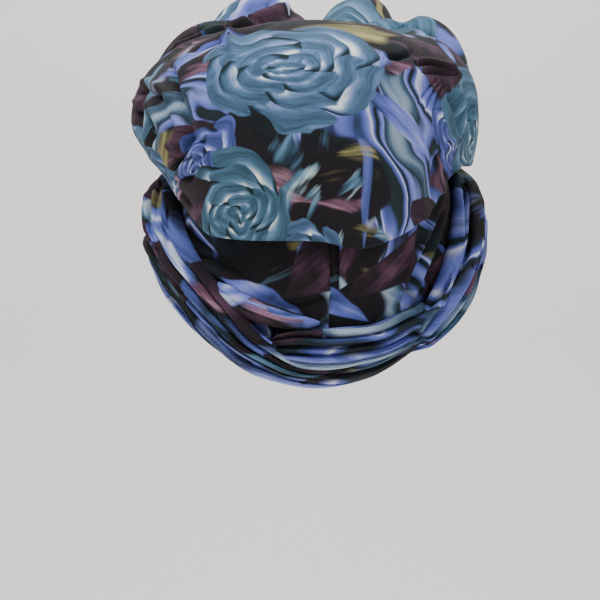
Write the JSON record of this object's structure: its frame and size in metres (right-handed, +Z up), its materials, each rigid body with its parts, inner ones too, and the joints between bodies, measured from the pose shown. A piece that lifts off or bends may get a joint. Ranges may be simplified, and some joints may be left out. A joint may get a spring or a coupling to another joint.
{
  "type": "chemo cap",
  "caption": "Slouchy jersey head covering with a full gathered crown, a fitted base and pleated cloth rolls wound round the rim and crossed at the nape.",
  "frame": {"origin": "middle of the head opening, at the height of the rim at the ears", "axes": "+Z up the wearer's head, +Y towards the wearer's face, +X towards the wearer's right"},
  "size_m": [0.1954, 0.2341, 0.2254],
  "materials": {
    "panel_jersey": "matte printed jersey",
    "crown_jersey": "matte printed jersey",
    "wrap_jersey": "matte printed jersey"
  },
  "bodies": {
    "root": {"base_panel_left": "panel_jersey", "base_panel_right": "panel_jersey", "crown_drape": "crown_jersey", "back_pleat": "panel_jersey", "band_left_wrap": "wrap_jersey", "band_right_wrap": "wrap_jersey", "nape_pleats": "wrap_jersey", "nape_tuck_fold": "wrap_jersey", "band_lower_roll": "wrap_jersey"}
  },
  "joints": []
}
